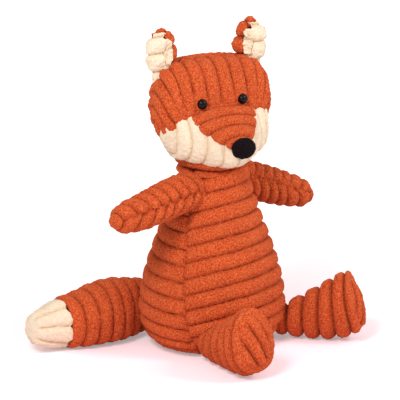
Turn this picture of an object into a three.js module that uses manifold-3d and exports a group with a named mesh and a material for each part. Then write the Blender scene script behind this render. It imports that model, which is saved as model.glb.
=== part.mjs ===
// A seated toy fox of wide-wale cord cloth, sewn as covers over soft stuffing.
// Millimetres, +Z up. The fox faces -Y and its right side is -X. The origin is the
// centre of the flat base panel that it sits on.

import * as THREE from "three";
import Module from "manifold-3d";
import { mergeVertices } from "three/addons/utils/BufferGeometryUtils.js";

const wasm = await Module();
wasm.setup();

// Cloth, clearances and facets

const coverWall = 2.4; // cord cloth with its pile
const seamGap = 0.3; // between pieces that are sewn or laid together
const swingGap = 0.7; // round a limb that moves in its seat
const waleWidth = 12.6; // one cord wale and its groove
const waleDepth = 1.6; // crest to groove
const cutReach = 300; // half size of the blocks that split a cover
const mergeReach = 0.001; // vertices closer than this are one

const bodySides = 28;
const headSides = 20;
const limbSides = 14;
const smallSides = 10;

// Wale section: how far along its width each ring lies, and how much of the depth it sinks
const waleShares = [
  [0, 1],
  [0.3, 0.12],
  [0.7, 0.12],
];
const slimWaleShares = [
  [0, 1],
  [0.5, 0],
];

// Body

const bodyHeight = 146;
const seatRadius = 38;
const bellyRadius = 60;
const bellyHeight = 32;
const neckRadius = 29;
const bodyWideShare = 1.07;
const bodyDeepShare = 0.94;
const hipHandleShares = [0.87, 0.1, 0.5]; // of belly radius, belly height, belly height
const backHandleShares = [0.98, 0.35, 1.14, 0.667]; // belly radius, rise, neck radius, rise
const sideSeamLean = THREE.MathUtils.degToRad(9);
const sideSeamDrop = 16; // where the side seam crosses the body's middle, under its top
const sideSeamHeight = bodyHeight - sideSeamDrop;
const pouchRadius = 30;
const pouchHeight = 20;

// Neck

const collarRadius = 31;
const collarBore = 14;
const collarHeight = 12;

// Head

const headTurn = THREE.MathUtils.degToRad(28.5); // to the fox's right
const headRise = 47.5; // the middle of the head, on the nodding axis, over the body
const headHeight = bodyHeight + headRise;
const headBack = 6; // how far the head sits behind the neck
const skullRadius = 40; // half its height
const skullHalfWidth = 53;
const faceDepthShare = 0.6; // of the skull's radius
const backDepthShare = 0.78;
const chinNarrowShare = 0.3; // how much of the width is lost at the skull's underside
const chinNarrowPower = 1.6;
const crownShares = [0.86, 1, 1, 0.86]; // handles of a quarter of the skull's outline
const earSeamBack = 6; // the seam between the face and the back of the head
const nodDown = THREE.MathUtils.degToRad(5);

// Cheeks: one cream roll across the lower face, furthest forward in the middle
const cheekHalfWidth = 47;
const cheekReach = 47.5; // from its axis to the front
const cheekBack = 5; // its axis, in front of the head's middle
const cheekDrop = 21.5; // its axis, under the head's middle
const cheekHalfHeight = 19.5;
const cheekThinning = 2; // how much of that is lost at its ends
const cheekThinningPower = 1.5;
const cheekEndPower = 14; // how late its ends close
const cheekRise = 2; // how much higher its ends sit than its middle
const chinDrop = 7; // how much lower its front sits than its axis
const cheekSquareness = 3.2; // 2 is an oval section
const cheekBackShare = 0.35; // how far it reaches behind its axis, inside the head

// Muzzle bridge: an orange cone from under the eyes to the nose
const muzzleRadius = 35; // half its width at the eyes
const muzzleTipRadius = 10.5;
const muzzleLength = 42;
const muzzleHandleShares = [0.94, 0.4, 1.71, 0.69]; // radius, length, tip radius, length
const muzzleThinShare = 0.31; // of its half width, at the eyes
const muzzleTipThinShare = 0.54;
const muzzleStart = 16; // in front of the head's middle
const muzzleDrop = 2.5;
const muzzleLean = THREE.MathUtils.degToRad(28);

const noseHalfWidth = 10.5;
const noseHalfHeight = 8.5;
const noseHalfDepth = 7;
const noseReach = 57.6; // in front of the head's middle
const noseDrop = 23.1;

const eyeRadius = 4.5;
const eyeDome = 2.6;
const eyeSpread = 18;
const eyeRise = 6.8; // over the head's middle
const eyeLift = THREE.MathUtils.degToRad(8);
const eyeTilt = THREE.MathUtils.degToRad(6);
const postRadius = 1.6;
const postLength = 9;
const washerRadius = 5;
const washerSet = 3.6; // behind the eye's rim, past the cloth
const washerWall = 1.4;

const earLength = 39;
const earHalfWidth = 13;
const earTipRadius = 9;
const earRootShare = 0.2; // how far it reaches into the head, of its length
const earThinShare = 0.48;
const earSpread = 38.5;
const earRise = 26; // ear root over the head's middle
const earSetBack = 5;
const earLean = THREE.MathUtils.degToRad(2);
const earTwist = THREE.MathUtils.degToRad(7.5); // inwards
const earInset = 1.4; // how far in front of its middle the ear's two layers meet
const earSeamTurn = THREE.MathUtils.degToRad(27); // so that its back shows at the inner edge

// Arms

const armLength = 83;
const armRootRadius = 15;
const armTipRadius = 12.5;
const armOut = 33; // pivot, to the side
const armDrop = 18; // pivot, under the body's top
const armHeight = bodyHeight - armDrop;
const armMouth = 6;
const armForward = THREE.MathUtils.degToRad(45); // from straight out
const armBackward = THREE.MathUtils.degToRad(30);
const armPoses = {
  right: { side: -1, forward: THREE.MathUtils.degToRad(-14), drop: THREE.MathUtils.degToRad(5) },
  left: { side: 1, forward: THREE.MathUtils.degToRad(22), drop: THREE.MathUtils.degToRad(18) },
};

const seatReachShare = 1.6; // how far a limb's room runs outwards, of its radius
const armSeatWideShare = 1.86;
const armSeatTallShare = 1.08;
const legSeatWideShare = 1.06;
const legSeatTallShare = 1.65;

// Legs

const legLength = 61;
const hipRadius = 14;
// Pivots, beside and in front of the middle; one leg is flopped a little further forward
const hipPlaces = { right: { out: 47, front: 33 }, left: { out: 38, front: 46 } };
const hipHeight = 15;
const footWidth = 40;
const footHeight = 60;
const legSplay = THREE.MathUtils.degToRad(24);
const legUp = THREE.MathUtils.degToRad(20);
const legDown = THREE.MathUtils.degToRad(60);
const soleDome = 4.5;
const soleInset = 1;
const toeShare = 0.8; // the sole's radius, of the leg's section there
const toeRound = 9; // how far back the toe starts to round over

// Tail

const tailLength = 88; // of the orange part
const tailTipLength = 33;
const tailRadius = 25;
const tailJointRadius = 18;
const tailEndRadius = 16.5;
const tailSwing = THREE.MathUtils.degToRad(67.8); // to the fox's right
const tailHalfHeight = 26;
const tailRootHalfHeight = 17;
const tipFluteCount = 8;

// Lines: a section is drawn as bezier bends, root first, with the solid on its left

function point(x, y) {
  return new THREE.Vector2(x, y);
}

function bends(...points) {
  const line = new THREE.CurvePath();
  for (let first = 0; first + 3 < points.length; first += 3) {
    line.add(new THREE.CubicBezierCurve(...points.slice(first, first + 4)));
  }
  return line;
}

// A point of the line, moved into the solid by the inset; a point on the axis stays on it
function insetPoint(line, share, inset) {
  const place = line.getPoint(share);
  const along = line.getTangent(share);
  const out = place.x > mergeReach ? place.x - along.y * inset : 0;
  return point(Math.max(0, out), place.y + along.x * inset);
}

function smoothLine(line, inset, steps) {
  const points = [];
  for (let step = 0; step <= steps; step += 1) {
    points.push(insetPoint(line, step / steps, inset));
  }
  return points;
}

// The line with a cord wale every wale width, its ends on a crest
function waleLine(line, grow = 0, ringShares = waleShares) {
  const rows = Math.round(line.getLength() / waleWidth);
  const points = [];
  for (let row = 0; row < rows; row += 1) {
    for (const [alongShare, sinkShare] of ringShares) {
      const share = (row + alongShare) / rows;
      points.push(insetPoint(line, share, (share > 0 ? waleDepth * sinkShare : 0) - grow));
    }
  }
  points.push(insetPoint(line, 1, -grow));
  return points;
}

// Solids

function solidOf(geometry) {
  const bare = geometry.clone();
  bare.deleteAttribute("normal");
  bare.deleteAttribute("uv");
  const merged = mergeVertices(bare, mergeReach);
  const corners = merged.index.array;
  const kept = [];
  for (let first = 0; first < corners.length; first += 3) {
    const [a, b, c] = corners.slice(first, first + 3);
    if (a !== b && b !== c && c !== a) {
      kept.push(a, b, c);
    }
  }
  return new wasm.Manifold(
    new wasm.Mesh({
      numProp: 3,
      vertProperties: new Float32Array(merged.attributes.position.array),
      triVerts: new Uint32Array(kept),
    }),
  );
}

function geometryOf(solid) {
  const mesh = solid.getMesh();
  const geometry = new THREE.BufferGeometry();
  geometry.setAttribute("position", new THREE.BufferAttribute(mesh.vertProperties, 3));
  geometry.setIndex(new THREE.BufferAttribute(mesh.triVerts, 1));
  geometry.computeVertexNormals();
  return geometry;
}

// A revolved section about the Y axis, with each vertex passed through a shaping function
function revolved(points, sides, shape = (vertex) => vertex) {
  const geometry = new THREE.LatheGeometry(points, sides);
  const places = geometry.attributes.position;
  const vertex = new THREE.Vector3();
  for (let index = 0; index < places.count; index += 1) {
    vertex.fromBufferAttribute(places, index);
    shape(vertex);
    places.setXYZ(index, vertex.x, vertex.y, vertex.z);
  }
  return solidOf(geometry);
}

function moved(solid, matrix) {
  return solid.transform(matrix.elements);
}

function turnedUp(vertex) {
  vertex.set(vertex.x, -vertex.z, vertex.y);
}

function turnedAcross(vertex) {
  vertex.set(vertex.y, -vertex.x, vertex.z);
}

function block(place, lean, turn = 0) {
  const geometry = new THREE.BoxGeometry(cutReach, cutReach, cutReach);
  geometry.translate(0, -cutReach / 2, 0);
  geometry.rotateX(lean);
  geometry.rotateZ(turn);
  geometry.translate(0, place.y, place.z);
  return solidOf(geometry);
}

// The left or right half of space, short of the middle by half a seam
function halfSpace(side) {
  const geometry = new THREE.BoxGeometry(cutReach, cutReach, cutReach);
  geometry.translate((side * (cutReach + seamGap)) / 2, 0, 0);
  return solidOf(geometry);
}

// Finishes

function finish(color, roughness, metalness = 0) {
  return () => new THREE.MeshStandardMaterial({ color, roughness, metalness });
}

const orangeCord = finish(0xd0693c, 0.95);
const creamCord = finish(0xf2dfc6, 0.95);
const blackPile = finish(0x1d1517, 0.9);
const blackGloss = finish(0x0a0a0c, 0.12);
const fibre = finish(0xf4f2ee, 1);
const pouchCloth = finish(0xdedad0, 0.9);
const clearPlastic = finish(0xe8e6e0, 0.4);

function addPiece(parent, name, solid, makeFinish) {
  const mesh = new THREE.Mesh(geometryOf(solid), makeFinish());
  mesh.name = name;
  parent.add(mesh);
}

const fox = new THREE.Group();

// Limb seats: a round room in the body about the pivot, wider the way that the limb swings

function seatRoom(radius, widen) {
  const reach = radius * seatReachShare;
  const points = [...rootLine(radius, -swingGap, 0, rootSteps), point(radius + swingGap, 0)];
  points.push(point(radius + swingGap, reach), point(0, reach));
  return revolved(points, limbSides, (vertex) => {
    vertex.x *= widen.x;
    vertex.z *= widen.z;
  });
}

function seated(room, pivot, turnTo, angle) {
  const holder = new THREE.Object3D();
  holder.position.copy(pivot);
  turnTo(holder, angle);
  holder.updateMatrixWorld();
  return moved(room, holder.matrixWorld);
}

// Arms

const armLine = bends(
  point(armRootRadius, 0),
  point(armRootRadius * 1.12, armLength * 0.3),
  point(armTipRadius * 1.2, armLength * 0.66),
  point(armTipRadius, armLength * 0.85),
  point(armTipRadius * 0.92, armLength * 0.93),
  point(armTipRadius * 0.68, armLength),
  point(0, armLength),
);

// A round root about the pivot, open in the middle where the stuffing meets the body's
function rootLine(radius, inset, mouth, steps) {
  const points = [];
  const start = Math.acos(mouth / (radius - inset));
  for (let step = 0; step < steps; step += 1) {
    const angle = start * (1 - step / steps);
    points.push(point((radius - inset) * Math.cos(angle), -(radius - inset) * Math.sin(angle)));
  }
  return points;
}

const rootSteps = 3;
const innerSteps = 6;

function armCover() {
  const outer = [...rootLine(armRootRadius, 0, armMouth, rootSteps), ...waleLine(armLine, 0, slimWaleShares)];
  const inner = [
    ...rootLine(armRootRadius, coverWall, armMouth, rootSteps),
    ...smoothLine(armLine, coverWall, innerSteps),
  ];
  return revolved([...inner.reverse(), ...outer], limbSides);
}

function armStuffing() {
  const inset = coverWall + seamGap;
  return revolved(
    [
      ...rootLine(armRootRadius, inset, 0, rootSteps),
      ...smoothLine(armLine, inset, innerSteps),
    ],
    limbSides,
  );
}

const armRoom = seatRoom(armRootRadius, { x: armSeatWideShare, z: armSeatTallShare });

function armPivot(side) {
  return new THREE.Vector3(side * armOut, 0, armHeight);
}

// Straight out is a quarter turn from the limb's own +Y
function turnArm(side, drop) {
  return (holder, forward) => {
    holder.rotation.set(-drop, 0, -side * (Math.PI / 2 + forward), "ZXY");
  };
}

// Legs: a boot that grows from the hip to the toe, with its underside on the floor

function blend(from, to, share) {
  return from + (to - from) * Math.min(1, Math.max(0, share));
}

const legFloorShare = 0.3; // of the leg's length, where its underside is down on the floor

function legWidth(along) {
  return blend(hipRadius * 2, footWidth, along / (legLength * 0.8));
}

function legHeight(along) {
  const rise = blend(0, 1, along / legLength);
  return blend(hipRadius * 2, footHeight, rise * (1.35 - 0.35 * rise));
}

function shapeLeg(vertex) {
  const along = Math.max(0, vertex.y);
  const bottom = blend(-hipRadius, -hipHeight, along / (legLength * legFloorShare));
  const middle = bottom + legHeight(along) / 2;
  vertex.x *= legWidth(along) / (hipRadius * 2);
  vertex.z = vertex.z * (legHeight(along) / (hipRadius * 2)) + (along > 0 ? middle : 0);
  vertex.z = Math.max(vertex.z, -hipHeight);
}

// Drawn on a tube of the hip's radius, which the shaping above opens to the true section
const legLine = bends(
  point(hipRadius, 0),
  point(hipRadius, legLength * 0.3),
  point(hipRadius, legLength * 0.6),
  point(hipRadius, legLength - toeRound),
  point(hipRadius, legLength - toeRound * 0.45),
  point(hipRadius * 0.94, legLength - toeRound * 0.1),
  point(hipRadius * toeShare, legLength),
);
const legMouth = 5;

function legCover() {
  const outer = [...rootLine(hipRadius, 0, legMouth, rootSteps), ...waleLine(legLine, 0, slimWaleShares)];
  const inner = [
    ...rootLine(hipRadius, coverWall, legMouth, rootSteps),
    ...smoothLine(legLine, coverWall * 0.75, innerSteps),
  ];
  const lip = inner[inner.length - 1];
  lip.set(hipRadius * toeShare - seamGap, legLength - coverWall * 1.5);
  const loop = [...outer, ...inner.reverse()];
  return revolved([...loop, loop[0]], limbSides, shapeLeg);
}

const soleRadius = hipRadius * toeShare - seamGap * 2;
const soleBack = legLength - soleInset - coverWall;

function legStuffing() {
  const inset = coverWall + seamGap;
  const points = [
    ...rootLine(hipRadius, inset, 0, rootSteps),
    ...smoothLine(legLine, coverWall * 0.75 + seamGap, innerSteps),
  ];
  const last = points.length - 1;
  points[last] = point(soleRadius - swingGap, soleBack - swingGap);
  return revolved([...points, point(0, soleBack - swingGap)], limbSides, shapeLeg);
}

function soleDisc() {
  const dome = soleDome + soleInset;
  const points = [
    point(0, soleBack),
    point(soleRadius, soleBack),
    point(soleRadius, legLength - soleInset / 2),
    point(soleRadius * 0.8, legLength - soleInset + dome * 0.62),
    point(soleRadius * 0.45, legLength - soleInset + dome * 0.92),
    point(0, legLength - soleInset + dome),
  ];
  return revolved(points, limbSides, shapeLeg);
}

const legRoom = seatRoom(hipRadius, { x: legSeatWideShare, z: legSeatTallShare });

function legPivot(name, side) {
  const { out, front } = hipPlaces[name];
  return new THREE.Vector3(side * out, -front, hipHeight);
}

function turnLeg(side) {
  return (holder, lift) => {
    holder.rotation.set(lift, 0, Math.PI + side * legSplay, "ZXY");
  };
}

// Body covers

const bodyRise = bodyHeight - bellyHeight;
const bodyLine = bends(
  point(seatRadius, 0),
  point(bellyRadius * hipHandleShares[0], bellyHeight * hipHandleShares[1]),
  point(bellyRadius, bellyHeight * hipHandleShares[2]),
  point(bellyRadius, bellyHeight),
  point(bellyRadius * backHandleShares[0], bellyHeight + bodyRise * backHandleShares[1]),
  point(neckRadius * backHandleShares[2], bellyHeight + bodyRise * backHandleShares[3]),
  point(neckRadius, bodyHeight),
);

function shapeBody(vertex) {
  turnedUp(vertex);
  vertex.x *= bodyWideShare;
  vertex.y *= bodyDeepShare;
}

const bodyInnerSteps = 7;

function bodyShell() {
  const inner = smoothLine(bodyLine, coverWall, bodyInnerSteps).reverse();
  const loop = [...waleLine(bodyLine), ...inner];
  return revolved([...loop, loop[0]], bodySides, shapeBody);
}

const limbRooms = ["right", "left"].map((name) => {
  const { side, drop } = armPoses[name];
  const arm = seated(armRoom, armPivot(side), turnArm(side, drop), (armForward - armBackward) / 2);
  const leg = seated(legRoom, legPivot(name, side), turnLeg(side), legUp / 2);
  return arm.add(leg);
});
const allRooms = limbRooms[0].add(limbRooms[1]);

const frontBlock = block({ y: -seamGap / 2, z: sideSeamHeight }, -sideSeamLean);
const frontRoom = block({ y: seamGap / 2, z: sideSeamHeight }, -sideSeamLean);
const shell = bodyShell().subtract(allRooms);

addPiece(fox, "body_front_panel", shell.intersect(frontBlock), orangeCord);
addPiece(fox, "body_back_panel", shell.subtract(frontRoom), orangeCord);

function baseDisc() {
  const radius = insetPoint(bodyLine, 0, coverWall).x - seamGap;
  return revolved(
    [point(0, 0), point(radius, 0), point(radius, coverWall), point(0, coverWall)],
    bodySides,
    shapeBody,
  );
}

const floorOfStuffing = coverWall + seamGap;

function pouch(gap) {
  const radius = pouchRadius + gap;
  const top = floorOfStuffing + pouchHeight + gap;
  const bottom = floorOfStuffing - gap;
  const line = bends(
    point(radius * 0.8, bottom),
    point(radius * 1.06, bottom),
    point(radius * 1.06, top),
    point(radius * 0.5, top),
  );
  return revolved(
    [point(0, bottom), ...smoothLine(line, 0, 5), point(0, top)],
    limbSides,
    turnedUp,
  );
}

function bodyStuffing() {
  const inset = coverWall + seamGap;
  const line = smoothLine(bodyLine, inset, bodyInnerSteps);
  const bottom = point(line[0].x, floorOfStuffing);
  const points = [point(0, floorOfStuffing), bottom, ...line.slice(1)];
  points.push(point(0, line[line.length - 1].y));
  return revolved(points, bodySides, shapeBody).subtract(allRooms).subtract(pouch(seamGap));
}

addPiece(fox, "body_base", baseDisc(), orangeCord);
addPiece(fox, "bean_pouch", pouch(0), pouchCloth);
addPiece(fox, "body_stuffing", bodyStuffing(), fibre);

for (const [name, { side, forward, drop }] of Object.entries(armPoses)) {
  const arm = new THREE.Group();
  arm.position.copy(armPivot(side));
  turnArm(side, drop)(arm, forward);
  addPiece(arm, `arm_${name}_cover`, armCover(), orangeCord);
  addPiece(arm, `arm_${name}_stuffing`, armStuffing(), fibre);
  fox.add(arm);

  const leg = new THREE.Group();
  leg.position.copy(legPivot(name, side));
  turnLeg(side)(leg, 0);
  addPiece(leg, `leg_${name}_cover`, legCover(), orangeCord);
  addPiece(leg, `leg_${name}_stuffing`, legStuffing(), fibre);
  addPiece(leg, `sole_${name}`, soleDisc(), orangeCord);
  fox.add(leg);
}

// Tail: pinched flat at its root, full in the middle, lying on the floor

const tailWidthShares = [
  [0, 0.08],
  [0.18, 0.27],
  [0.34, 0.6],
  [0.5, 0.94],
  [0.62, 1],
  [0.8, 0.93],
];

function tailHalfWidth(along) {
  const share = along / tailLength;
  for (let index = 1; index < tailWidthShares.length; index += 1) {
    const [endShare, endWidthShare] = tailWidthShares[index];
    const [startShare, startWidthShare] = tailWidthShares[index - 1];
    if (share <= endShare) {
      const step = (share - startShare) / (endShare - startShare);
      return tailRadius * blend(startWidthShare, endWidthShare, step);
    }
  }
  const [lastShare, lastWidthShare] = tailWidthShares[tailWidthShares.length - 1];
  const toJoint = (share - lastShare) / (1 - lastShare);
  if (share <= 1) {
    return blend(tailRadius * lastWidthShare, tailJointRadius, toJoint);
  }
  return blend(tailJointRadius, tailEndRadius, (along - tailLength) / tailTipLength);
}

function tailTall(along) {
  const share = along / tailLength;
  const rising = blend(tailRootHalfHeight, tailHalfHeight, share / 0.55);
  const falling = blend(tailHalfHeight, tailJointRadius, (share - 0.6) / 0.4);
  const tip = blend(tailJointRadius, tailEndRadius, (share - 1) * (tailLength / tailTipLength));
  return share > 1 ? tip : Math.min(rising, falling);
}

// Sections are drawn on a tube of the tail's greatest radius and drawn in to its true shape
function shapeTail(vertex) {
  const along = Math.max(0, vertex.y);
  const tall = tailTall(along);
  vertex.x *= tailHalfWidth(along) / tailRadius;
  vertex.z = Math.max(0, tall * (1 + vertex.z / tailRadius));
}

const tailLine = bends(
  point(tailRadius, 0),
  point(tailRadius, tailLength * 0.33),
  point(tailRadius, tailLength * 0.66),
  point(tailRadius, tailLength),
);
const tailTipLine = bends(
  point(tailRadius, tailLength + seamGap),
  point(tailRadius, tailLength + tailTipLength * 0.6),
  point(tailRadius, tailLength + tailTipLength * 0.98),
  point(0, tailLength + tailTipLength),
);
const tailInnerRadius = tailRadius - coverWall * 1.4;
const tailStuffingRadius = tailInnerRadius - swingGap * 2;
const tailInnerStart = waleWidth * 1.5;

function tailCover() {
  const outer = [point(0, 0), ...waleLine(tailLine, 0, slimWaleShares)];
  const inner = [
    point(tailInnerRadius, tailLength),
    point(tailInnerRadius, tailLength * 0.8),
    point(tailInnerRadius, tailLength * 0.6),
    point(tailInnerRadius, tailLength * 0.4),
    point(tailInnerRadius, tailInnerStart),
    point(0, tailInnerStart),
  ];
  return revolved([...outer, ...inner], limbSides, shapeTail);
}

function flutedTail(vertex) {
  const angle = Math.atan2(vertex.z, vertex.x);
  const share = 1 - (waleDepth / tailRadius) * (0.5 - 0.5 * Math.cos(angle * tipFluteCount));
  vertex.x *= share;
  vertex.z *= share;
  shapeTail(vertex);
}

function tailTip() {
  const outer = smoothLine(tailTipLine, 0, innerSteps);
  const inner = smoothLine(tailTipLine, coverWall * 1.4, 4).reverse();
  inner[inner.length - 1].y = outer[0].y;
  return revolved([...inner, ...outer], limbSides * 2, flutedTail);
}

function tailStuffing() {
  const tipLine = smoothLine(tailTipLine, coverWall * 1.4 + waleDepth * 2, 4);
  const points = [
    point(0, tailInnerStart + seamGap),
    point(tailStuffingRadius, tailInnerStart + seamGap),
    point(tailStuffingRadius, tailLength * 0.4),
    point(tailStuffingRadius, tailLength * 0.6),
    point(tailStuffingRadius, tailLength * 0.8),
    point(tailStuffingRadius, tailLength),
    ...tipLine.slice(1),
  ];
  return revolved(points, limbSides, shapeTail);
}

const tail = new THREE.Group();
tail.position.set(0, bellyRadius * bodyDeepShare + swingGap + seamGap, 0);
tail.rotation.z = tailSwing;
addPiece(tail, "tail_cover", tailCover(), orangeCord);
addPiece(tail, "tail_tip", tailTip(), creamCord);
addPiece(tail, "tail_stuffing", tailStuffing(), fibre);
fox.add(tail);

// Head: everything below is placed from the nodding axis, across the middle of the skull

const head = new THREE.Group();
head.rotation.z = -headTurn;
const skull = new THREE.Group();
skull.position.set(0, headBack, headHeight);
head.add(skull);
fox.add(head);

// A quarter outline and its mirror; across is the half length of the axis
function crownLine(radius, across, handles) {
  const [handleOut, handleAcross, endOut, endAcross] = handles;
  return bends(
    point(0, -across),
    point(radius * handleOut, -across * handleAcross),
    point(radius * endOut, -across * endAcross),
    point(radius, 0),
    point(radius * endOut, across * endAcross),
    point(radius * handleOut, across * handleAcross),
    point(0, across),
  );
}

const faceLine = crownLine(skullRadius, skullHalfWidth, crownShares);
const backLine = crownLine(skullRadius, skullRadius, [
  crownShares[3],
  crownShares[2],
  crownShares[1],
  crownShares[0],
]);

function narrowed(height) {
  return 1 - chinNarrowShare * Math.max(0, -height / skullRadius) ** chinNarrowPower;
}

// The skull's depth and width keep their distance from a form that is inset all round
function deepened(vertex, inset) {
  const share = vertex.y < 0 ? faceDepthShare : backDepthShare;
  vertex.y *= (skullRadius * share - inset) / (skullRadius - inset);
  vertex.x *= narrowed(vertex.z);
}

function faceShape(inset) {
  return (vertex) => {
    turnedAcross(vertex);
    deepened(vertex, inset);
  };
}

function backShape(inset) {
  return (vertex) => {
    turnedUp(vertex);
    vertex.x *= (skullHalfWidth - inset) / (skullRadius - inset);
    deepened(vertex, inset);
  };
}

const skullSteps = 8;
const innerSides = 16;
const muzzleSides = 16;
const faceOuter = revolved(waleLine(faceLine), headSides, faceShape(0));
const faceOuterRoom = revolved(waleLine(faceLine, seamGap), headSides, faceShape(-seamGap));
const backOuter = revolved(waleLine(backLine, 0, slimWaleShares), headSides, backShape(0));
const backOuterRoom = revolved(
  waleLine(backLine, seamGap, slimWaleShares),
  headSides,
  backShape(-seamGap),
);
const frontOfHead = block({ y: earSeamBack - seamGap / 2, z: 0 }, 0);
const frontOfHeadRoom = block({ y: earSeamBack + seamGap / 2, z: 0 }, 0);

// The head's smooth form at a depth: the face's section in front of the ears, the back's behind
function skullAt(inset) {
  const front = revolved(smoothLine(faceLine, inset, skullSteps), innerSides, faceShape(inset));
  const back = revolved(smoothLine(backLine, inset, skullSteps), innerSides, backShape(inset));
  return front.intersect(frontOfHeadRoom).add(back.subtract(frontOfHead));
}

// The cheek roll's section: full in the middle and round at its ends
const cheekWidthShares = [
  [-1, 0],
  [-0.97, 0.16],
  [-0.85, 0.36],
  [-0.53, 0.62],
  [-0.25, 0.88],
  [0, 1],
];

function cheekLine(inset) {
  const half = cheekHalfWidth - inset;
  const reach = cheekReach - inset;
  const leftHalf = cheekWidthShares.map(([across, out]) => point(reach * out, half * across));
  const rightHalf = cheekWidthShares
    .slice(0, -1)
    .reverse()
    .map(([across, out]) => point(reach * out, -half * across));
  return new THREE.SplineCurve([...leftHalf, ...rightHalf]);
}

// How far out a rounded square lies, of the circle through its flats
function squareness(ahead, up) {
  return (Math.abs(ahead) ** cheekSquareness + Math.abs(up) ** cheekSquareness) ** (-1 / cheekSquareness);
}

function cheekShape(inset) {
  return (vertex) => {
    turnedAcross(vertex);
    const out = Math.hypot(vertex.y, vertex.z);
    const spread = Math.min(1, Math.abs(vertex.x) / (cheekHalfWidth - inset));
    const thin = cheekThinning * spread ** cheekThinningPower;
    const half = (cheekHalfHeight - inset - thin) * (1 - spread ** cheekEndPower);
    const middle = cheekRise * spread - cheekDrop;
    if (out < mergeReach) {
      vertex.set(vertex.x, -cheekBack, middle);
      return;
    }
    const grow = squareness(vertex.y / out, vertex.z / out);
    const ahead = vertex.y * grow * (vertex.y > 0 ? cheekBackShare : 1);
    const drop = (chinDrop * Math.max(0, -ahead)) / cheekReach;
    vertex.set(vertex.x, ahead - cheekBack, middle - drop + (vertex.z / out) * grow * half);
  };
}

function cheekAt(inset) {
  return revolved(smoothLine(cheekLine(inset), 0, skullSteps), innerSides, cheekShape(inset));
}

const cheekOuter = revolved(waleLine(cheekLine(0), 0, slimWaleShares), headSides, cheekShape(0));
const cheekRoom = revolved(
  waleLine(cheekLine(0), seamGap, slimWaleShares),
  headSides,
  cheekShape(-seamGap),
);

// The muzzle points forward and down to the nose
const muzzleLine = bends(
  point(muzzleRadius, 0),
  point(muzzleRadius * muzzleHandleShares[0], muzzleLength * muzzleHandleShares[1]),
  point(muzzleTipRadius * muzzleHandleShares[2], muzzleLength * muzzleHandleShares[3]),
  point(muzzleTipRadius, muzzleLength),
);

// Its height, of its half width, grows towards the nose; a form inset all round keeps the wall
function muzzleShape(inset) {
  return (vertex) => {
    const along = vertex.y;
    const thin = blend(muzzleThinShare, muzzleTipThinShare, along / muzzleLength);
    const half = blend(muzzleRadius, muzzleTipRadius, along / muzzleLength) - inset;
    const rise = vertex.z * Math.max(thin - (inset * (1 - thin)) / half, 0);
    const ahead = along * Math.cos(muzzleLean) + rise * Math.sin(muzzleLean);
    const up = rise * Math.cos(muzzleLean) - along * Math.sin(muzzleLean);
    vertex.set(-vertex.x, -ahead - muzzleStart, up - muzzleDrop);
  };
}

function closedEnds(points, gap = 0) {
  const first = points[0];
  const last = points[points.length - 1];
  const root = [point(0, first.y - gap), point(first.x, first.y - gap)];
  return [...root, ...points.slice(1), point(0, last.y + gap)];
}

function muzzleAt(inset) {
  const points = smoothLine(muzzleLine, inset, innerSteps);
  return revolved(closedEnds(points), innerSides, muzzleShape(inset));
}

const muzzleOuter = revolved(
  closedEnds(waleLine(muzzleLine, 0, slimWaleShares)),
  muzzleSides,
  muzzleShape(0),
);
const muzzleRoom = revolved(
  closedEnds(waleLine(muzzleLine, seamGap, slimWaleShares), seamGap * 2),
  muzzleSides,
  muzzleShape(-seamGap * 2),
);

function noseAt(gap) {
  const ball = new THREE.SphereGeometry(1, limbSides, smallSides);
  ball.scale(noseHalfWidth + gap, noseHalfDepth + gap, noseHalfHeight + gap);
  ball.translate(0, -noseReach, -noseDrop);
  return solidOf(ball);
}

// Eyes: a gloss dome on a post, held by a washer inside the face
function eyeDisc() {
  return revolved(
    [
      point(0, -postLength),
      point(postRadius, -postLength),
      point(postRadius, 0),
      point(eyeRadius, 0),
      point(eyeRadius * 0.88, eyeDome * 0.5),
      point(eyeRadius * 0.5, eyeDome * 0.88),
      point(0, eyeDome),
    ],
    smallSides,
  );
}

function washerRing() {
  const bore = postRadius + seamGap;
  const top = -washerSet;
  const loop = [
    point(bore, top - washerWall),
    point(washerRadius, top - washerWall),
    point(washerRadius, top),
    point(bore, top),
  ];
  return revolved([...loop, loop[0]], smallSides);
}

function eyeRoom() {
  const back = -postLength - seamGap;
  const washerTop = -washerSet + seamGap;
  return revolved(
    [
      point(0, back),
      point(washerRadius + seamGap, back),
      point(washerRadius + seamGap, washerTop),
      point(postRadius + seamGap, washerTop),
      point(postRadius + seamGap, -seamGap),
      point(eyeRadius + seamGap, -seamGap),
      point(eyeRadius + seamGap, eyeDome),
      point(0, eyeDome),
    ],
    smallSides,
  );
}

// Where a line across the head at the eye's place meets the skull
function skullRadiusAt(across) {
  let low = 0;
  let high = 0.5;
  for (let step = 0; step < 30; step += 1) {
    const middle = (low + high) / 2;
    if (faceLine.getPoint(middle).y < -Math.abs(across)) {
      low = middle;
    } else {
      high = middle;
    }
  }
  return faceLine.getPoint(low).x;
}

function eyeHolder(side) {
  const reach = Math.sqrt(skullRadiusAt(eyeSpread) ** 2 - eyeRise ** 2);
  const holder = new THREE.Group();
  holder.position.set(side * eyeSpread, -reach * faceDepthShare - seamGap, eyeRise);
  holder.rotation.set(Math.PI - eyeLift, 0, side * eyeTilt, "ZXY");
  holder.updateMatrix();
  return holder;
}

const eyeHolders = [eyeHolder(-1), eyeHolder(1)];
const eyeRooms = eyeHolders.map((holder) => moved(eyeRoom(), holder.matrix));

// Ears
const earLine = bends(
  point(earHalfWidth * 0.7, -earLength * earRootShare),
  point(earHalfWidth * 1.1, earLength * 0.15),
  point(earHalfWidth * 1.2, earLength * 0.6),
  point(earTipRadius, earLength * 0.88),
  point(earTipRadius * 0.7, earLength * 0.95),
  point(earTipRadius * 0.4, earLength),
  point(0, earLength),
);

function shapeEar(vertex) {
  turnedUp(vertex);
  vertex.y *= earThinShare;
}

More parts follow.
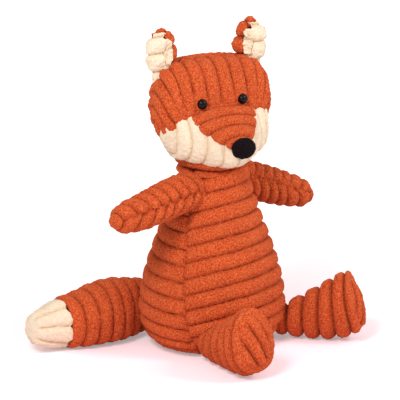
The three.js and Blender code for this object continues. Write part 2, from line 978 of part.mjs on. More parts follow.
function earHolder(side) {
  const holder = new THREE.Group();
  holder.position.set(side * earSpread, earSetBack, earRise);
  holder.rotation.set(0, side * earLean, -side * earTwist, "ZYX");
  holder.updateMatrix();
  return holder;
}

const earSolid = revolved(
  [point(0, -earLength * earRootShare), ...waleLine(earLine, 0, slimWaleShares)],
  limbSides,
  shapeEar,
);
const headRoom = faceOuterRoom.intersect(frontOfHeadRoom).add(backOuterRoom.subtract(frontOfHead));

function earPiece(holder, side, front) {
  const layers = front
    ? earSolid.intersect(block({ y: -earInset - seamGap / 2, z: 0 }, 0, side * earSeamTurn))
    : earSolid.subtract(block({ y: -earInset + seamGap / 2, z: 0 }, 0, side * earSeamTurn));
  const inverse = holder.matrix.clone().invert();
  return layers.subtract(moved(headRoom, inverse));
}

// Covers of the head, split where their seams run
const inside = skullAt(coverWall).add(cheekAt(coverWall)).add(muzzleAt(coverWall));
const noseRoom = noseAt(seamGap);
const washerRooms = eyeRooms[0].add(eyeRooms[1]);
const leftOfFace = halfSpace(1);
const rightOfFace = halfSpace(-1);

const headCover = faceOuter
  .intersect(frontOfHead)
  .subtract(inside)
  .subtract(cheekRoom)
  .subtract(muzzleRoom)
  .subtract(washerRooms);
const nodRoom = revolved(smoothLine(faceLine, 0, skullSteps * 2), headSides, turnedAcross);
const headBackPanel = backOuter
  .intersect(nodRoom)
  .subtract(frontOfHeadRoom)
  .subtract(inside)
  .subtract(cheekRoom);
const cheeks = cheekOuter.subtract(inside).subtract(muzzleRoom).subtract(noseRoom);
const muzzleBridge = muzzleOuter.subtract(inside).subtract(noseRoom).subtract(washerRooms);
const headStuffing = skullAt(coverWall + seamGap)
  .add(cheekAt(coverWall + seamGap))
  .add(muzzleAt(coverWall + seamGap))
  .subtract(noseRoom)
  .subtract(washerRooms);

addPiece(skull, "head_cover", headCover, orangeCord);
addPiece(skull, "head_back_panel", headBackPanel, orangeCord);
addPiece(skull, "muzzle_bridge", muzzleBridge, orangeCord);
addPiece(skull, "cheek_right", cheeks.intersect(rightOfFace), creamCord);
addPiece(skull, "cheek_left", cheeks.intersect(leftOfFace), creamCord);
addPiece(skull, "head_stuffing", headStuffing, fibre);
addPiece(skull, "nose", noseAt(0), blackPile);

for (const [index, name] of ["right", "left"].entries()) {
  const side = index === 0 ? -1 : 1;
  const eye = eyeHolders[index];
  addPiece(eye, `eye_${name}`, eyeDisc(), blackGloss);
  addPiece(eye, `eye_${name}_washer`, washerRing(), clearPlastic);
  skull.add(eye);

  const ear = earHolder(side);
  addPiece(ear, `ear_${name}_outer`, earPiece(ear, side, false), orangeCord);
  addPiece(ear, `ear_${name}_inner`, earPiece(ear, side, true), creamCord);
  skull.add(ear);
}

// Neck collar: one fat wale between the body and the head, hollowed to the head's underside
function collarRing() {
  const bottom = bodyHeight + seamGap;
  const top = bottom + collarHeight;
  const loop = [
    point(collarBore, bottom),
    point(neckRadius, bottom),
    point(collarRadius, bottom + collarHeight * 0.25),
    point(collarRadius, bottom + collarHeight * 0.55),
    point(neckRadius, bottom + collarHeight * 0.8),
    point(neckRadius * 0.85, top),
    point(collarBore, top),
  ];
  return revolved([...loop, loop[0]], headSides, turnedUp);
}

function headInNeck(solid, nod) {
  const holder = new THREE.Object3D();
  holder.position.set(0, headBack, headHeight);
  holder.rotation.x = nod;
  holder.updateMatrix();
  return moved(solid, holder.matrix);
}

function bowl() {
  return revolved(smoothLine(faceLine, -swingGap, skullSteps * 2), headSides, turnedAcross);
}

const chinRoom = revolved(
  waleLine(cheekLine(0), swingGap, slimWaleShares),
  headSides,
  cheekShape(-swingGap),
);
const collar = collarRing()
  .subtract(headInNeck(bowl(), 0))
  .subtract(headInNeck(chinRoom, 0))
  .subtract(headInNeck(chinRoom, nodDown));
addPiece(head, "neck_collar", collar, orangeCord);

export default fox;
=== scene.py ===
# %% [markdown]
# This is a seated toy fox, sewn from jumbo cord over soft stuffing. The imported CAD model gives
# every size and every joint, so it is loaded first and never moved. Its plain cloth solids are
# hidden one by one, as a fuller piece takes the place of each.

# %% Load the fixed frame
import math

import bmesh
import bpy
import numpy as np
from mathutils import Matrix, Vector, noise
from mathutils.geometry import interpolate_bezier


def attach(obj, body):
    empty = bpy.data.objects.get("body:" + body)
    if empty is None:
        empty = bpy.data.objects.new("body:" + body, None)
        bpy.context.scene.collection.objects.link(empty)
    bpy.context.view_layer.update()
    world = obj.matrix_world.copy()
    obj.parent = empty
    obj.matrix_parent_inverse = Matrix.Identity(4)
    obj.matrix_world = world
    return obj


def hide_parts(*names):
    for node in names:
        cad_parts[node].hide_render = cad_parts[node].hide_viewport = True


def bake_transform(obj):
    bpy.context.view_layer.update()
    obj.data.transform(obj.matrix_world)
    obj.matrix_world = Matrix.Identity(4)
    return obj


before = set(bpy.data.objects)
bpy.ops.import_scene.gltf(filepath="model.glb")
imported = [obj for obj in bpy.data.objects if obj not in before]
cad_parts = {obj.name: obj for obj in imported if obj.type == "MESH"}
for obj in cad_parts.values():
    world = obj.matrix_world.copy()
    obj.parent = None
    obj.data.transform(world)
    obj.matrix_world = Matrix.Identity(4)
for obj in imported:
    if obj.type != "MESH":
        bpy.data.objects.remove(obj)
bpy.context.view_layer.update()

MM = 0.001

# %% [markdown]
# The camera comes next, because it decides which details matter. The photograph was taken from
# the fox's right, a little above it, with a long lens that hardly narrows what is further off.
# So the lens is long too, and the camera looks at the point that lies mid picture.

# %% Camera
VIEW_ANGLE = math.radians(-57)
VIEW_RISE = math.radians(16)
CAMERA_DISTANCE = 3.2  # metres
MIDDLE_ASIDE = -9.6  # where the picture's middle lies from the origin, in millimetres
MIDDLE_UP = 111.2
towards_camera = Vector((
    math.sin(VIEW_ANGLE) * math.cos(VIEW_RISE),
    -math.cos(VIEW_ANGLE) * math.cos(VIEW_RISE),
    math.sin(VIEW_RISE),
))
picture_right = Vector((math.cos(VIEW_ANGLE), math.sin(VIEW_ANGLE), 0))
picture_up = towards_camera.cross(picture_right)
middle = picture_right * MIDDLE_ASIDE * MM + picture_up * MIDDLE_UP * MM

camera_data = bpy.data.cameras.new("camera")
camera_data.lens = 360
camera_data.sensor_width = 36
camera_data.clip_end = 20
camera = bpy.data.objects.new("camera", camera_data)
bpy.context.scene.collection.objects.link(camera)
camera.location = middle + towards_camera * CAMERA_DISTANCE
camera.rotation_euler = towards_camera.to_track_quat("Z", "Y").to_euler()
bpy.context.scene.camera = camera
bpy.context.scene.view_settings.view_transform = "Standard"
print("camera at", tuple(round(place, 3) for place in camera.location))

# %% [markdown]
# A studio picture of a toy has light from all sides and one larger soft lamp. The world gives
# the even light. Camera, glossy and transmission rays see plain white instead, so the
# background is white in the picture, in the eyes and through the washers. A second, weaker lamp
# stands in front.

# %% Light
LAMP_AIM = (0, 0, 0.12)
LAMP_SIZE = 0.42


def seen_plainly(nodes, links):
    """1 for camera, glossy and transmission rays, which show the background itself."""
    path = nodes.new("ShaderNodeLightPath")
    seen = path.outputs["Is Camera Ray"]
    for name in ("Is Glossy Ray", "Is Transmission Ray"):
        either = nodes.new("ShaderNodeMath")
        either.operation = "MAXIMUM"
        links.new(seen, either.inputs[0])
        links.new(path.outputs[name], either.inputs[1])
        seen = either.outputs[0]
    return seen


world = bpy.data.worlds.new("studio")
bpy.context.scene.world = world
world.use_nodes = True
sky = world.node_tree.nodes
sky_links = world.node_tree.links
sky.clear()
sky_out = sky.new("ShaderNodeOutputWorld")
sky_even = sky.new("ShaderNodeBackground")
sky_even.inputs["Color"].default_value = (1, 0.985, 0.97, 1)
sky_even.inputs["Strength"].default_value = 0.56
sky_white = sky.new("ShaderNodeBackground")
sky_white.inputs["Color"].default_value = (1, 1, 1, 1)
sky_white.inputs["Strength"].default_value = 1
sky_pick = sky.new("ShaderNodeMixShader")
sky_links.new(seen_plainly(sky, sky_links), sky_pick.inputs[0])
sky_links.new(sky_even.outputs[0], sky_pick.inputs[1])
sky_links.new(sky_white.outputs[0], sky_pick.inputs[2])
sky_links.new(sky_pick.outputs[0], sky_out.inputs["Surface"])


def soft_lamp(name, place, aim, size, power):
    """A square lamp of that size in metres, turned towards aim."""
    data = bpy.data.lights.new(name, "AREA")
    data.size = size
    data.energy = power
    lamp = bpy.data.objects.new(name, data)
    bpy.context.scene.collection.objects.link(lamp)
    lamp.location = place
    lamp.rotation_euler = (Vector(place) - Vector(aim)).to_track_quat("Z", "Y").to_euler()
    print("lamp", name, power, "W")


soft_lamp("key_lamp", (-1.15, -0.2, 1.15), LAMP_AIM, LAMP_SIZE, 13.5)
soft_lamp("front_lamp", (0.35, -1.2, 1.0), LAMP_AIM, LAMP_SIZE, 9)

# %% [markdown]
# Two small helpers serve all the materials: one turns a colour as seen on a screen into the
# linear values that a shader works with, the other mixes two colours.

# %% Colours
def linear(red, green, blue):
    """A colour written as on a screen, from 0 to 255, for a shader's socket."""
    shares = [value / 255 for value in (red, green, blue)]
    return [s / 12.92 if s <= 0.04045 else ((s + 0.055) / 1.055) ** 2.4 for s in shares] + [1]


def mixed(nodes, links, share, first, second):
    """A colour mix of two sockets or colours by a share socket."""
    mix = nodes.new("ShaderNodeMix")
    mix.data_type = "RGBA"
    links.new(share, mix.inputs["Factor"])
    for name, value in (("A", first), ("B", second)):
        socket = [s for s in mix.inputs if s.name == name and s.type == "RGBA"][0]
        if isinstance(value, list):
            socket.default_value = value
        else:
            links.new(value, socket)
    return [s for s in mix.outputs if s.type == "RGBA"][0]


print("colour helpers ready")

# %% [markdown]
# The floor is a plain sheet of white paper, and it runs on past the picture's edge. It stays
# matt, so that the fox only leaves a faint shadow on it. Near the fox a pink tint is painted
# into the paper's colour. It is painted reflected light from the orange cloth, and it shows in
# the shadow. A glow, which rises with distance and which only the background's rays see, keeps
# the far floor as white as the world behind it.

# %% Floor
FLOOR_HALF = 3
# Painted reflected light: a pink tint in the paper near the fox, which fades out over this
# reach.
NEAR_PAINTED_BOUNCE = [0.96, 0.72, 0.78, 1]
PAINTED_BOUNCE_REACH = (0.1, 0.3)  # metres from the middle: full tint, no tint
GLOW_REACH = (0.2, 1)
GLOW = (0.3, 0.46)

paper = bpy.data.materials.new("floor_paper")
paper.use_nodes = True
paper_nodes = paper.node_tree.nodes
paper_links = paper.node_tree.links
paper_shader = paper_nodes["Principled BSDF"]
paper_shader.inputs["Roughness"].default_value = 1
paper_shader.inputs["Specular IOR Level"].default_value = 0
paper_glow = paper_nodes.new("ShaderNodeMath")
paper_glow.operation = "MULTIPLY"
paper_links.new(seen_plainly(paper_nodes, paper_links), paper_glow.inputs[0])
paper_links.new(paper_glow.outputs[0], paper_shader.inputs["Emission Strength"])
paper_shader.inputs["Emission Color"].default_value = (1, 1, 1, 1)

paper_place = paper_nodes.new("ShaderNodeTexCoord").outputs["Object"]
paper_reach = paper_nodes.new("ShaderNodeVectorMath")
paper_reach.operation = "LENGTH"
paper_links.new(paper_place, paper_reach.inputs[0])
paper_bounce_fade = paper_nodes.new("ShaderNodeMapRange")
paper_bounce_fade.inputs["From Min"].default_value = PAINTED_BOUNCE_REACH[0]
paper_bounce_fade.inputs["From Max"].default_value = PAINTED_BOUNCE_REACH[1]
paper_links.new(paper_reach.outputs["Value"], paper_bounce_fade.inputs["Value"])
paper_lift = paper_nodes.new("ShaderNodeMapRange")
paper_lift.inputs["From Min"].default_value = GLOW_REACH[0]
paper_lift.inputs["From Max"].default_value = GLOW_REACH[1]
paper_lift.inputs["To Min"].default_value = GLOW[0]
paper_lift.inputs["To Max"].default_value = GLOW[1]
paper_links.new(paper_reach.outputs["Value"], paper_lift.inputs["Value"])
paper_links.new(paper_lift.outputs["Result"], paper_glow.inputs[1])
# Painted reflected light: the paper's colour turns from pink near the fox to white further off.
paper_painted_bounce = mixed(
    paper_nodes, paper_links, paper_bounce_fade.outputs["Result"], NEAR_PAINTED_BOUNCE, [1, 1, 1, 1]
)
paper_links.new(paper_painted_bounce, paper_shader.inputs["Base Color"])

sheet = bmesh.new()
bmesh.ops.create_grid(sheet, x_segments=1, y_segments=1, size=FLOOR_HALF)
floor_mesh = bpy.data.meshes.new("floor")
sheet.to_mesh(floor_mesh)
sheet.free()
floor_mesh.materials.append(paper)
floor = bpy.data.objects.new("floor", floor_mesh)
bpy.context.scene.collection.objects.link(floor)
print("floor", 2 * FLOOR_HALF, "m wide")

# %% [markdown]
# Jumbo cord is a knit cloth with fat ribs, called wales, and a dense short pile. Close up, the
# pile is a mass of tiny tufts, lighter at their tips than between them. The shade that falls in
# the grooves between wales is painted in as a darker colour. So one finish serves both cloths: a
# fine noise mixes two shades, and the groove attribute, which each piece stores when its wales
# are pressed in, draws in the third, the painted groove shade. Sheen gives the soft light edge
# that pile has.


# %% Cord finishes
TUFT_SCALE = 900  # tufts of pile, per metre
PATCH_SCALE = 45  # patches that are a little lighter or darker


def grain(nodes, links, place, scale, detail, low, high):
    """Noise of that scale per metre, stretched so that low to high becomes 0 to 1."""
    texture = nodes.new("ShaderNodeTexNoise")
    texture.inputs["Scale"].default_value = scale
    texture.inputs["Detail"].default_value = detail
    texture.inputs["Roughness"].default_value = 0.6
    links.new(place, texture.inputs["Vector"])
    spread = nodes.new("ShaderNodeMapRange")
    spread.inputs["From Min"].default_value = low
    spread.inputs["From Max"].default_value = high
    links.new(texture.outputs["Fac"], spread.inputs["Value"])
    return spread.outputs["Result"]


def cord_finish(name, groove_shade_colour, shade, tip, sheen_tint, sheen, bump_share=0.7):
    """Pile cloth: painted shade in the grooves, shade between the tufts and tip on them."""
    finish = bpy.data.materials.new(name)
    finish.use_nodes = True
    nodes = finish.node_tree.nodes
    links = finish.node_tree.links
    shader = nodes["Principled BSDF"]
    place = nodes.new("ShaderNodeTexCoord").outputs["Object"]
    tufts = grain(nodes, links, place, TUFT_SCALE, 2, 0.35, 0.65)
    patches = grain(nodes, links, place, PATCH_SCALE, 2, 0.3, 0.7)
    pile = mixed(nodes, links, tufts, shade, tip)
    worn = nodes.new("ShaderNodeHueSaturation")
    links.new(pile, worn.inputs["Color"])
    lift = nodes.new("ShaderNodeMapRange")
    lift.inputs["To Min"].default_value = 0.93
    lift.inputs["To Max"].default_value = 1.06
    links.new(patches, lift.inputs["Value"])
    links.new(lift.outputs["Result"], worn.inputs["Value"])
    # Painted shade: the groove attribute darkens the cloth's colour in the grooves and along the
    # seams.
    painted_groove_shade = nodes.new("ShaderNodeAttribute")
    painted_groove_shade.attribute_name = "painted_groove_shade"
    cloth = mixed(nodes, links, painted_groove_shade.outputs["Fac"], worn.outputs["Color"], groove_shade_colour)
    links.new(cloth, shader.inputs["Base Color"])
    bump = nodes.new("ShaderNodeBump")
    bump.inputs["Strength"].default_value = bump_share
    bump.inputs["Distance"].default_value = 0.9 * MM
    links.new(tufts, bump.inputs["Height"])
    links.new(bump.outputs["Normal"], shader.inputs["Normal"])
    shader.inputs["Roughness"].default_value = 0.95
    shader.inputs["Specular IOR Level"].default_value = 0.1
    shader.inputs["Sheen Weight"].default_value = sheen
    shader.inputs["Sheen Roughness"].default_value = 0.5
    shader.inputs["Sheen Tint"].default_value = sheen_tint
    return finish


# The first colour of each finish is the painted shade in its grooves.
orange_cord = cord_finish(
    "orange_cord",
    linear(126, 32, 10),
    linear(188, 51, 15),
    linear(226, 112, 62),
    linear(255, 160, 110),
    0.2,
)
cream_cord = cord_finish(
    "cream_cord",
    linear(216, 178, 134),
    linear(231, 206, 177),
    linear(243, 225, 201),
    linear(255, 250, 240),
    0.1,
    0.4,
)
nose_pile = cord_finish(
    "nose_pile",
    linear(6, 3, 5),
    linear(10, 5, 8),
    linear(24, 13, 18),
    linear(120, 110, 120),
    0.02,
)
print("finishes:", orange_cord.name, cream_cord.name, nose_pile.name)

# %% [markdown]
# Every stuffed part starts as a turned form, because the maker's flat panels close up round the
# stuffing much like one. A few points of a half outline are joined by bezier bends and spun
# with bmesh. Where a limb isn't round, each vertex is then passed through a small formula.


# %% Turned forms
def bends(*points, steps=10):
    """Joined bezier bends through every third point, as a list of (radius, height)."""
    line = []
    for first in range(0, len(points) - 3, 3):
        corners = [Vector((*corner, 0)) for corner in points[first:first + 4]]
        line += interpolate_bezier(*corners, steps + 1)[:-1]
    line.append(Vector((*points[-1], 0)))
    return [(corner.x, corner.y) for corner in line]


def turned(line, sides=64):
    """A closed form: the half outline, in millimetres, spun round the Y axis."""
    form = bmesh.new()
    verts = [form.verts.new((radius * MM, height * MM, 0)) for radius, height in line]
    edges = [form.edges.new(pair) for pair in zip(verts, verts[1:])]
    bmesh.ops.spin(
        form,
        geom=verts + edges,
        cent=(0, 0, 0),
        axis=(0, 1, 0),
        angle=math.tau,
        steps=sides,
        use_merge=True,
    )
    bmesh.ops.remove_doubles(form, verts=form.verts, dist=0.02 * MM)
    bmesh.ops.recalc_face_normals(form, faces=form.faces)
    return form


def shaped(form, rule):
    """Moves each vertex to where the rule puts it; the rule works in millimetres."""
    for vert in form.verts:
        vert.co = Vector(rule(*(vert.co / MM))) * MM
    bmesh.ops.recalc_face_normals(form, faces=form.faces)
    return form


def rounded_root(radius):
    """The half outline of a limb's rounded root, almost a quarter circle behind its pivot."""
    angles = np.linspace(0, 1.5, 8)
    return [(radius * math.sin(angle), -radius * math.cos(angle)) for angle in angles]


def cut(form, place, normal, keep_front):
    """Cuts a form at a plane, keeps what is in front of it or behind, and closes the cut."""
    bmesh.ops.bisect_plane(
        form,
        geom=form.verts[:] + form.edges[:] + form.faces[:],
        plane_co=place,
        plane_no=normal,
        clear_outer=keep_front,
        clear_inner=not keep_front,
    )
    rim = [edge for edge in form.edges if edge.is_boundary]
    bmesh.ops.holes_fill(form, edges=rim, sides=0)
    bmesh.ops.recalc_face_normals(form, faces=form.faces)
    return form


def upright(x, y, z):
    """Turns a form's axis from Y to Z."""
    return x, -z, y


def across(x, y, z):
    """Turns a form's axis from Y to X."""
    return y, -x, z


print("turned forms ready")

# %% [markdown]
# Stuffing pushes the cloth out until the seams hold it. Cloth simulation does the same with
# pressure: the form is remeshed evenly, blown up for twenty frames without gravity, and no
# point may travel further than the cloth would stretch. Two subdivisions then make room for
# the wales.


# %% Stuffing
PUMP_FRAMES = 20


def settled(piece):
    """Applies the modifiers of a piece and clears them."""
    depsgraph = bpy.context.evaluated_depsgraph_get()
    mesh = bpy.data.meshes.new_from_object(piece.evaluated_get(depsgraph))
    old = piece.data
    piece.modifiers.clear()
    piece.data = mesh
    bpy.data.meshes.remove(old)


def places(mesh):
    """The vertices of a mesh as rows of x, y and z in millimetres."""
    flat = np.zeros(len(mesh.vertices) * 3)
    mesh.vertices.foreach_get("co", flat)
    return flat.reshape(-1, 3) / MM


def put(mesh, points):
    """Writes rows of millimetres back to the mesh."""
    mesh.vertices.foreach_set("co", (points * MM).astype(np.float32).ravel())
    mesh.update()


def pumped(piece, cap):
    """Swells the piece with Cloth pressure; no point moves more than cap millimetres."""
    scene = bpy.context.scene
    cloth = piece.modifiers.new("Cloth", "CLOTH")
    cloth.settings.use_pressure = True
    cloth.settings.uniform_pressure_force = 4
    cloth.settings.effector_weights.gravity = 0
    cloth.point_cache.frame_start = 1
    cloth.point_cache.frame_end = PUMP_FRAMES
    for number in range(1, PUMP_FRAMES + 1):
        scene.frame_set(number)
    depsgraph = bpy.context.evaluated_depsgraph_get()
    swollen = places(piece.evaluated_get(depsgraph).data)
    piece.modifiers.clear()
    scene.frame_set(1)
    start = places(piece.data)
    moved = swollen - start
    length = np.linalg.norm(moved, axis=1)
    share = np.minimum(1, cap / np.maximum(length, 1e-6))
    put(piece.data, start + moved * share[:, None])


def stuffed(name, form, voxel=4.0, cap=1.5, levels=2):
    """A padded piece: the form evenly meshed, blown up and subdivided."""
    mesh = bpy.data.meshes.new(name)
    form.to_mesh(mesh)
    form.free()
    piece = bpy.data.objects.new(name, mesh)
    bpy.context.scene.collection.objects.link(piece)
    remesh = piece.modifiers.new("Remesh", "REMESH")
    remesh.mode = "VOXEL"
    remesh.voxel_size = voxel * MM
    settled(piece)
    pumped(piece, cap)
    finer = piece.modifiers.new("Subdivision", "SUBSURF")
    finer.levels = levels
    finer.render_levels = levels
    settled(piece)
    piece.data.polygons.foreach_set("use_smooth", [True] * len(piece.data.polygons))
    return piece


print("stuffing ready, simulated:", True)

# %% [markdown]
# A wale is a fat round rib, and the groove beside it is narrow and deep. Its height therefore
# follows a flat arch that drops steeply at both ends. Each piece says by a formula how many
# wales along a point lies, so the wales run as on the real panel and bend where it bends.
# A seam is one more groove, drawn in tighter, and the pile is a last fine noise on all of it.


# %% Wales, seams and pile
ROW_DRIFT = 0.045  # how far a wale strays, in wales
WALE_FLATNESS = 2.5
PINCH_REACH = 2.2  # half width of a seam's groove, in millimetres
TIGHT_REACH = 6  # how far from a seam the cloth is drawn in
PUCKER = 1.3
UNEVENNESS = 0.5  # of the stuffing
PILE_DEPTH = 0.65
TUFT_SIZE = 2.2
LOWEST = 0.2  # cloth stays this far over the floor


def wavering(points, size, seed):
    """Smooth noise from about -1 to 1 with lumps of that size in millimetres."""
    shift = Vector((seed * 17.3, seed * 5.1, seed * 9.7))
    return np.array([noise.noise(Vector(point) / size + shift) for point in points.tolist()])


def along(line, radius, height):
    """How far along a half outline each point lies, in millimetres."""
    line = np.array(line)
    start = line[:-1]
    step = line[1:] - start
    lengths = np.linalg.norm(step, axis=1)
    before = np.concatenate([[0], np.cumsum(lengths)[:-1]])
    offset_x = radius[:, None] - start[:, 0]
    offset_y = height[:, None] - start[:, 1]
    share = (offset_x * step[:, 0] + offset_y * step[:, 1]) / lengths**2
    share = np.clip(share, 0, 1)
    gap = np.hypot(offset_x - share * step[:, 0], offset_y - share * step[:, 1])
    nearest = gap.argmin(axis=1)
    picked = np.arange(len(radius))
    return before[nearest] + share[picked, nearest] * lengths[nearest]


def line_length(line):
    return float(np.linalg.norm(np.diff(np.array(line), axis=0), axis=1).sum())


def corded(
    piece, rows, depth, seam=None, seam_depth=2.2, bare=None, seed=1, shade=2, lumps=0
):
    """Presses wales into a piece and lays the pile over them.

    rows gives each point's place counted in wales, seam its distance from a seam in
    millimetres, and bare is 1 where the cloth lies plain. A low shade number widens the painted
    shade of the grooves, and lumps are uneven stuffing of that height."""
    mesh = piece.data
    points = places(mesh)
    normals = np.zeros(len(mesh.vertices) * 3)
    mesh.vertices.foreach_get("normal", normals)
    normals = normals.reshape(-1, 3)
    row = rows(points) + ROW_DRIFT * wavering(points, 22, seed)
    side = np.abs(2 * (row - np.floor(row)) - 1)
    crest = np.sqrt(1 - side**WALE_FLATNESS)
    plain = np.zeros(len(points)) if bare is None else bare(points)
    sink = depth * (1 - crest) * (1 - plain)
    # Painted shade: how dark the colour is in the grooves and along the seams, stored for the
    # finish.
    painted_groove_shade = (1 - crest) ** shade * (1 - plain)
    if seam is not None:
        gap = np.abs(seam(points) + 1.2 * wavering(points, 9, seed + 4))
        pinch = np.exp(-((gap / PINCH_REACH) ** 2))
        tight = np.exp(-((gap / TIGHT_REACH) ** 2))
        pucker = PUCKER * tight * wavering(points, 5, seed + 3)
        sink = sink * (1 - 0.4 * pinch) + seam_depth * pinch + 0.5 * tight + pucker
        painted_groove_shade = np.maximum(painted_groove_shade, 0.3 * np.exp(-((gap / 1.2) ** 2)))
    sink -= UNEVENNESS * wavering(points, 18, seed + 1) + lumps * wavering(points, 8, seed + 5)
    sink -= PILE_DEPTH * wavering(points, TUFT_SIZE, seed + 2)
    put(mesh, points - normals * sink[:, None])
    layer = mesh.attributes.new("painted_groove_shade", "FLOAT", "POINT")
    layer.data.foreach_set("value", np.clip(painted_groove_shade, 0, 1).astype(np.float32))


def dressed(piece, matrix, finish, slot, body, fill, *nodes):
    """Puts a piece in its place, with its finish, its body and the nodes it stands for."""
    if matrix is not None:
        piece.data.transform(matrix)
    points = places(piece.data)
    points[:, 2] = np.maximum(points[:, 2], LOWEST)
    put(piece.data, points)
    piece.data.materials.clear()
    piece.data.materials.append(finish)
    if body is not None:
        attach(piece, body)
    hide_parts(*nodes)
    print(piece.name, len(piece.data.polygons), "faces")


print("wales ready")

# %% [markdown]
# The body is two panels, sewn up each side, that narrow from the seat to the neck. Their wales
# run level in front and sag towards the side seams, because a flat panel with straight ribs
# is wrapped round a pear shape. The panel behind meets it half a wale out of step.

# %% Body
BODY_HEIGHT = 146
BODY_WIDE = 1.07
BODY_DEEP = 0.94
BODY_WALES = 13
BODY_SAG = 0.17  # how far the wales hang at the sides, of the radius
SEAM_LEAN = math.tan(math.radians(9))
SEAM_HEIGHT = 130
body_side = bends(
    (38, 0), (52.2, 3.2), (60, 16), (60, 32), (58.8, 71.9), (33.1, 108), (29, BODY_HEIGHT)
)
body_pitch = line_length(body_side) / BODY_WALES


def body_form(x, y, z):
    x, y, z = upright(x, y, z)
    return x * BODY_WIDE, y * BODY_DEEP, z


def body_seam(points):
    """Distance behind the side seam, which leans forward to the base."""
    return points[:, 1] + (SEAM_HEIGHT - points[:, 2]) * SEAM_LEAN


def body_rows(points):
    x, y, z = points[:, 0] / BODY_WIDE, points[:, 1] / BODY_DEEP, points[:, 2]
    turn = np.arctan2(np.abs(x), -y)
    radius = np.hypot(x, y)
    front_sag = BODY_SAG * radius * (turn / 1.3) ** 2
    back_sag = BODY_SAG * radius * (0.75 + 0.25 * ((math.pi - turn) / 1.84) ** 2) + 4.5
    sag = np.where(body_seam(points) < 0, front_sag, back_sag)
    return along(body_side, radius, z + sag) / body_pitch


def body_bare(points):
    """1 under the seat and at the neck, where no wale shows."""
    under = np.hypot(points[:, 0] / BODY_WIDE, points[:, 1] / BODY_DEEP) < 37
    return ((under & (points[:, 2] < 2)) | (points[:, 2] > 142)).astype(float)


body = stuffed("body_cover", shaped(turned([(0, 0), *body_side, (0, BODY_HEIGHT)]), body_form))
corded(body, body_rows, 4.5, seam=body_seam, seam_depth=1.4, bare=body_bare, seed=1)
dressed(
    body, None, orange_cord, "orange_cord", "torso", 0.8,
    "body_front_panel", "body_back_panel", "body_base", "body_stuffing", "bean_pouch",
)

# %% [markdown]
# One fat wale forms the neck. It is turned by itself, because it turns with the head while the
# body stays.

# %% Neck collar
HEAD_TURN = math.radians(28.5)
collar_side = bends((20, 146.2), (34, 145), (34, 158), (20, 158.5))
collar_place = Matrix.Rotation(-HEAD_TURN, 4, "Z")


def collar_form(x, y, z):
    """Fuller behind, where the head's weight rests."""
    x, y, z = upright(x, y, z)
    return x, y + 3 * max(0, y) / 31, z


collar_round = turned([(0, 146.2), *collar_side, (0, 158.5)])
collar = stuffed("neck_collar_roll", shaped(collar_round, collar_form), 3, 0.6)
corded(collar, lambda points: np.full(len(points), 0.5), 2, seed=2)
dressed(collar, collar_place, orange_cord, "orange_cord", "neck", 0.8, "neck_collar")

# %% [markdown]
# The head is sewn from four kinds of panel: a crown whose wales run from the back over the top
# to the eyes, a back with level wales, a muzzle bridge of four arched wales, and two cream
# cheeks that meet under the chin. Each is a form of its own that dives under its neighbour, as
# a seam allowance does, so a soft groove is left where they meet.

# %% Head frame
head_place = Matrix.Rotation(-HEAD_TURN, 4, "Z") @ Matrix.Translation((0, 6 * MM, 193.5 * MM))
SKULL_RADIUS = 38.5
SKULL_HALF = 51.5
FACE_DEPTH = 0.6
BACK_DEPTH = 0.78
EAR_SEAM = 6
SEAM_LAP = 2.5
EYE_SPREAD = 18
EYE_RISE = 6.6


def narrowed(z):
    """Share of the head's width that is left at a height: it narrows to the chin."""
    return 1 - 0.24 * np.clip(-z / SKULL_RADIUS, 0, 1.2) ** 1.6


def head_depth(y):
    return np.where(y < 0, FACE_DEPTH, BACK_DEPTH)


def cut_at_ears(form, keep_front):
    """Cuts a form at the seam across the crown, with a little to spare that dives under."""
    lap = SEAM_LAP if keep_front else -SEAM_LAP
    return cut(form, (0, (EAR_SEAM + lap) * MM, 0), (0, 1, 0), keep_front)


print("head stands at", tuple(round(part, 4) for part in head_place.to_translation()))

# %% Crown
crown_side = bends(
    (0, -51.5), (33, -51.5), (38.5, -44.3), (38.5, 0), (38.5, 44.3), (33, 51.5), (0, 51.5)
)
CROWN_PITCH = 12.4
CROWN_DROP = 20
crown_line = [(0, -51.5), *((radius + CROWN_DROP, x) for radius, x in crown_side), (0, 51.5)]


def crown_form(x, y, z):
    x, y, z = across(x, y, z)
    return x * float(narrowed(z)), y * float(head_depth(y)), z


def crown_rows(points):
    x, y, z = points.T
    radius = np.hypot(y / head_depth(y), z + CROWN_DROP)
    reach = along(crown_line, radius, x / narrowed(z)) - line_length(crown_line) / 2
    return reach / CROWN_PITCH


def ear_seam(points):
    return points[:, 1] - EAR_SEAM


def eye_pull(points):
    """Plain cloth where an eye's post draws it in."""
    gap = np.hypot(np.abs(points[:, 0]) - EYE_SPREAD, points[:, 2] - EYE_RISE)
    return np.where(points[:, 1] < 0, np.exp(-((gap / 7) ** 2)), 0)


crown = stuffed("head_crown", cut_at_ears(shaped(turned(crown_side), crown_form), True), 3, 0.8)
corded(crown, crown_rows, 3.6, seam=ear_seam, seam_depth=1.2, bare=eye_pull, seed=3)
dressed(
    crown, head_place, orange_cord, "orange_cord", "head", 0.8, "head_cover", "head_stuffing"
)

# %% Back of the head
back_side = bends(
    (0, -38.5), (33, -38.5), (38.5, -33), (38.5, 0), (38.5, 33), (33, 38.5), (0, 38.5)
)
BACK_PITCH = 12.4


def back_form(x, y, z):
    x, y, z = upright(x, y, z)
    wide = SKULL_HALF / SKULL_RADIUS * float(narrowed(z))
    return x * wide, y * float(head_depth(y)), z


def back_rows(points):
    x, y, z = points.T
    wide = x * SKULL_RADIUS / SKULL_HALF / narrowed(z)
    radius = np.hypot(wide, y / head_depth(y))
    return along(back_side, radius, z) / BACK_PITCH


